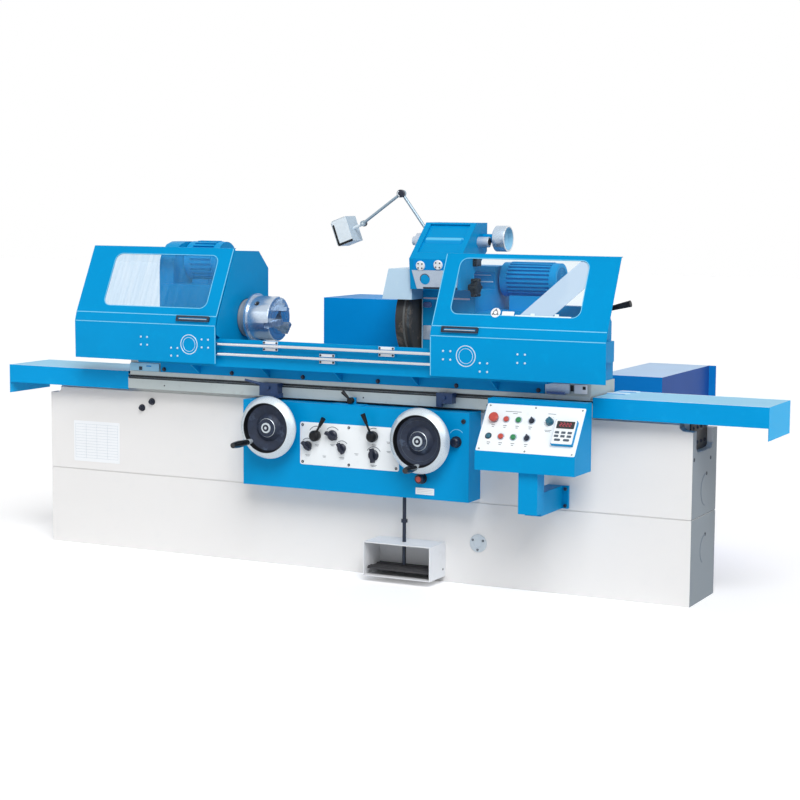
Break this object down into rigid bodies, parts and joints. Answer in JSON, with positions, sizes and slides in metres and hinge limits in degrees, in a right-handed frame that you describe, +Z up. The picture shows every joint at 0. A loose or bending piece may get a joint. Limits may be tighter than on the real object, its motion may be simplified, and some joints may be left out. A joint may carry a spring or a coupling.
{
  "type": "universal cylindrical grinding machine",
  "caption": "Floor-standing cylindrical grinder: bed, traversing table with workhead and tailstock, sliding guard doors, wheelhead, operator panel, foot pedal and lamp.",
  "frame": {"origin": "on the floor under the middle of the bed", "axes": "+X along the bed to the operator's right, +Y away from the operator, +Z up"},
  "size_m": [3.658, 1.74, 1.663],
  "materials": {
    "white_paint": "light grey-white enamel",
    "blue_paint": "bright blue enamel",
    "motor_paint": "blue enamel on finned casings",
    "wheel_metal": "polished rim, dark dished face",
    "ground_steel": "ground",
    "polished_steel": "polished",
    "chrome": "hard chrome",
    "lamp_tube": "chromed tube",
    "lamp_shell": "white shell with a black lens band",
    "dark_metal": "blued and oiled",
    "cast_grey": "machined",
    "navy_plastic": "moulded",
    "black_plastic": "moulded grips",
    "pedal_rubber": "ribbed",
    "red_plastic": "gloss",
    "green_plastic": "gloss",
    "teal_plastic": "gloss",
    "abrasive": "coarse bonded grain, never metallic",
    "window": "clear sheet"
  },
  "bodies": {
    "base": {"bed": "white_paint", "electric_cabinet": "blue_paint", "hydraulic_tank": "blue_paint", "apron": "blue_paint", "pedal_housing": "white_paint", "console": "blue_paint"},
    "traverse_handwheel": {"traverse_handwheel": "wheel_metal"},
    "infeed_handwheel": {"infeed_handwheel": "wheel_metal"},
    "traverse_lever": {"traverse_lever": "black_plastic"},
    "feed_lever": {"feed_lever": "black_plastic"},
    "knob_start": {"knob_start": "navy_plastic"},
    "knob_dwell_left": {"knob_dwell_left": "navy_plastic"},
    "knob_dwell_right": {"knob_dwell_right": "navy_plastic"},
    "knob_speed": {"knob_speed": "navy_plastic"},
    "infeed_stop_knob": {"infeed_stop_knob": "navy_plastic"},
    "fine_feed_knob": {"fine_feed_knob": "navy_plastic"},
    "reversing_lever": {"reversing_lever": "black_plastic"},
    "foot_pedal": {"foot_pedal": "pedal_rubber"},
    "pedal_rod": {"pedal_rod": "ground_steel"},
    "emergency_stop": {"emergency_stop": "red_plastic"},
    "button_red_upper": {"button_red_upper": "red_plastic"},
    "button_green_upper": {"button_green_upper": "green_plastic"},
    "button_red_lower": {"button_red_lower": "red_plastic"},
    "button_green_lower": {"button_green_lower": "green_plastic"},
    "selector_upper": {"selector_upper": "navy_plastic"},
    "selector_lower": {"selector_lower": "navy_plastic"},
    "speed_dial": {"speed_dial": "teal_plastic"},
    "table": {"lower_table": "ground_steel", "piston_rod": "chrome", "tray_left": "blue_paint", "tray_right": "blue_paint"},
    "dog_left": {"dog_left": "dark_metal"},
    "dog_right": {"dog_right": "dark_metal"},
    "swivel_table": {"upper_table": "ground_steel", "splash_guard": "blue_paint", "rail_upper": "chrome", "rail_lower": "chrome", "workhead": "blue_paint", "workhead_motor": "motor_paint"},
    "door_left": {"door_left": "blue_paint", "window_left": "window"},
    "door_right": {"door_right": "blue_paint", "window_right": "window"},
    "chuck": {"chuck": "polished_steel"},
    "jaw_1": {"jaw_1": "dark_metal"},
    "jaw_2": {"jaw_2": "dark_metal"},
    "jaw_3": {"jaw_3": "dark_metal"},
    "tailstock": {"tailstock": "blue_paint"},
    "quill": {"quill": "polished_steel"},
    "tailstock_lever": {"tailstock_lever": "black_plastic"},
    "cross_slide": {"cross_slide": "cast_grey"},
    "wheelhead": {"wheelhead": "blue_paint", "wheel_motor": "motor_paint", "wheel_guard": "white_paint"},
    "grinding_wheel": {"grinding_wheel": "abrasive"},
    "internal_arm": {"internal_arm": "blue_paint"},
    "internal_spindle": {"internal_spindle": "polished_steel"},
    "lamp_lower_arm": {"lamp_lower_arm": "lamp_tube"},
    "lamp_upper_arm": {"lamp_upper_arm": "lamp_tube"},
    "lamp_head": {"lamp_head": "lamp_shell"}
  },
  "joints": [
    {"name": "traverse_handwheel_turn", "type": "hinge", "parent": "base", "child": "traverse_handwheel", "pos_m": [-0.28, -0.35, 0.636], "axis": [0, -1, 0], "continuous": true},
    {"name": "infeed_handwheel_turn", "type": "hinge", "parent": "base", "child": "infeed_handwheel", "pos_m": [0.448, -0.35, 0.624], "axis": [0, -1, 0], "continuous": true},
    {"name": "traverse_lever_turn", "type": "hinge", "parent": "base", "child": "traverse_lever", "pos_m": [-0.073, -0.3, 0.608], "axis": [0, -1, 0], "range_deg": [0, 65]},
    {"name": "feed_lever_turn", "type": "hinge", "parent": "base", "child": "feed_lever", "pos_m": [0.204, -0.3, 0.622], "axis": [0, -1, 0], "range_deg": [-45, 15]},
    {"name": "knob_start_turn", "type": "hinge", "parent": "base", "child": "knob_start", "pos_m": [0.004, -0.29, 0.613], "axis": [0, -1, 0], "range_deg": [0, 90]},
    {"name": "knob_dwell_left_turn", "type": "hinge", "parent": "base", "child": "knob_dwell_left", "pos_m": [-0.118, -0.29, 0.561], "axis": [0, -1, 0], "range_deg": [-60, 210]},
    {"name": "knob_dwell_right_turn", "type": "hinge", "parent": "base", "child": "knob_dwell_right", "pos_m": [0.05, -0.29, 0.56], "axis": [0, -1, 0], "range_deg": [-60, 210]},
    {"name": "knob_speed_turn", "type": "hinge", "parent": "base", "child": "knob_speed", "pos_m": [0.203, -0.29, 0.54], "axis": [0, -1, 0], "range_deg": [-60, 210]},
    {"name": "infeed_stop_knob_turn", "type": "hinge", "parent": "base", "child": "infeed_stop_knob", "pos_m": [0.589, -0.29, 0.622], "axis": [0, -1, 0], "range_deg": [0, 90]},
    {"name": "fine_feed_knob_pull", "type": "slide", "parent": "base", "child": "fine_feed_knob", "axis": [0, -1, 0], "range_m": [0, 0.01]},
    {"name": "reversing_lever_swing", "type": "hinge", "parent": "base", "child": "reversing_lever", "pos_m": [0.075, -0.25, 0.764], "axis": [0, -1, 0], "range_deg": [-60, 0]},
    {"name": "foot_pedal_tilt", "type": "hinge", "parent": "base", "child": "foot_pedal", "pos_m": [0.33, -0.184, 0.058], "axis": [1, 0, 0], "range_deg": [0, 8], "stiffness_Nm_per_rad": 12, "springref_deg": -17.19},
    {"name": "pedal_rod_drop", "type": "slide", "parent": "base", "child": "pedal_rod", "axis": [0, 0, -1], "range_m": [0, 0.009]},
    {"name": "emergency_stop_press", "type": "slide", "parent": "base", "child": "emergency_stop", "axis": [0, 0.8194, -0.5732], "range_m": [0, 0.004], "stiffness_N_per_m": 800, "springref_m": -0.002},
    {"name": "button_red_upper_press", "type": "slide", "parent": "base", "child": "button_red_upper", "axis": [0, 0.8194, -0.5732], "range_m": [0, 0.003], "stiffness_N_per_m": 500, "springref_m": -0.002},
    {"name": "button_green_upper_press", "type": "slide", "parent": "base", "child": "button_green_upper", "axis": [0, 0.8194, -0.5732], "range_m": [0, 0.003], "stiffness_N_per_m": 500, "springref_m": -0.002},
    {"name": "button_red_lower_press", "type": "slide", "parent": "base", "child": "button_red_lower", "axis": [0, 0.8194, -0.5732], "range_m": [0, 0.003], "stiffness_N_per_m": 500, "springref_m": -0.002},
    {"name": "button_green_lower_press", "type": "slide", "parent": "base", "child": "button_green_lower", "axis": [0, 0.8194, -0.5732], "range_m": [0, 0.003], "stiffness_N_per_m": 500, "springref_m": -0.002},
    {"name": "selector_upper_turn", "type": "hinge", "parent": "base", "child": "selector_upper", "pos_m": [0.982, -0.41403, 0.74592], "axis": [0, -0.8194, 0.5732], "range_deg": [-45, 45]},
    {"name": "selector_lower_turn", "type": "hinge", "parent": "base", "child": "selector_lower", "pos_m": [0.98, -0.45931, 0.68118], "axis": [0, -0.8194, 0.5732], "range_deg": [-45, 45]},
    {"name": "speed_dial_turn", "type": "hinge", "parent": "base", "child": "speed_dial", "pos_m": [1.06, -0.41403, 0.74592], "axis": [0, -0.8194, 0.5732], "range_deg": [-135, 135]},
    {"name": "table_traverse", "type": "slide", "parent": "base", "child": "table", "axis": [1, 0, 0], "range_m": [-0.3, 0.18]},
    {"name": "dog_left_slide", "type": "slide", "parent": "table", "child": "dog_left", "axis": [1, 0, 0], "range_m": [-0.4, 0.05]},
    {"name": "dog_right_slide", "type": "slide", "parent": "table", "child": "dog_right", "axis": [1, 0, 0], "range_m": [-0.05, 0.4]},
    {"name": "table_swivel", "type": "hinge", "parent": "table", "child": "swivel_table", "pos_m": [0.037, -0.067, 0.82], "axis": [0, 0, 1], "range_deg": [-3, 3]},
    {"name": "door_left_slide", "type": "slide", "parent": "swivel_table", "child": "door_left", "axis": [1, 0, 0], "range_m": [0, 0.5]},
    {"name": "door_right_slide", "type": "slide", "parent": "swivel_table", "child": "door_right", "axis": [1, 0, 0], "range_m": [-0.5, 0]},
    {"name": "chuck_spin", "type": "hinge", "parent": "swivel_table", "child": "chuck", "pos_m": [-0.45, -0.065, 1.088], "axis": [1, 0, 0], "continuous": true},
    {"name": "jaw_1_slide", "type": "slide", "parent": "chuck", "child": "jaw_1", "axis": [0, 0.2588, 0.9659], "range_m": [-0.01, 0.01]},
    {"name": "jaw_2_slide", "type": "slide", "parent": "chuck", "child": "jaw_2", "axis": [0, -0.9659, -0.2588], "range_m": [-0.01, 0.01]},
    {"name": "jaw_3_slide", "type": "slide", "parent": "chuck", "child": "jaw_3", "axis": [0, 0.7071, -0.7071], "range_m": [-0.01, 0.01]},
    {"name": "tailstock_slide", "type": "slide", "parent": "swivel_table", "child": "tailstock", "axis": [1, 0, 0], "range_m": [-0.25, 0]},
    {"name": "quill_retract", "type": "slide", "parent": "tailstock", "child": "quill", "axis": [1, 0, 0], "range_m": [0, 0.03], "stiffness_N_per_m": 2000, "springref_m": -0.02},
    {"name": "tailstock_lever_turn", "type": "hinge", "parent": "tailstock", "child": "tailstock_lever", "pos_m": [1.125, -0.17, 1.168], "axis": [0, 1, 0], "range_deg": [0, 40]},
    {"name": "cross_slide_feed", "type": "slide", "parent": "base", "child": "cross_slide", "axis": [0, 1, 0], "range_m": [-0.12, 0]},
    {"name": "wheelhead_swivel", "type": "hinge", "parent": "cross_slide", "child": "wheelhead", "pos_m": [0.36, 0.43, 0.82], "axis": [0, 0, 1], "range_deg": [-10, 10]},
    {"name": "grinding_wheel_spin", "type": "hinge", "parent": "wheelhead", "child": "grinding_wheel", "pos_m": [0.1475, 0.295, 1.088], "axis": [1, 0, 0], "continuous": true},
    {"name": "internal_arm_swing", "type": "hinge", "parent": "wheelhead", "child": "internal_arm", "pos_m": [0.325, 0.1425, 1.2535], "axis": [1, 0, 0], "range_deg": [0, 90]},
    {"name": "internal_spindle_spin", "type": "hinge", "parent": "internal_arm", "child": "internal_spindle", "pos_m": [0.32, 0.24, 1.437], "axis": [1, 0, 0], "continuous": true},
    {"name": "lamp_lower_arm_tilt", "type": "hinge", "parent": "wheelhead", "child": "lamp_lower_arm", "pos_m": [0.216, 0.345, 1.386], "axis": [0, 1, 0], "range_deg": [-20, 25]},
    {"name": "lamp_upper_arm_tilt", "type": "hinge", "parent": "lamp_lower_arm", "child": "lamp_upper_arm", "pos_m": [0.019, 0.338, 1.646], "axis": [0, 1, 0], "range_deg": [-30, 50]},
    {"name": "lamp_head_tilt", "type": "hinge", "parent": "lamp_upper_arm", "child": "lamp_head", "pos_m": [-0.174, 0.338, 1.509], "axis": [0, 1, 0], "range_deg": [-45, 45]}
  ],
  "couplings": [
    {"joint": "pedal_rod_drop", "follows": "foot_pedal_tilt", "m_per_rad": 0.056},
    {"joint": "jaw_2_slide", "follows": "jaw_1_slide", "ratio": 1},
    {"joint": "jaw_3_slide", "follows": "jaw_1_slide", "ratio": 1},
    {"joint": "tailstock_lever_turn", "follows": "quill_retract", "rad_per_m": 23.2}
  ]
}
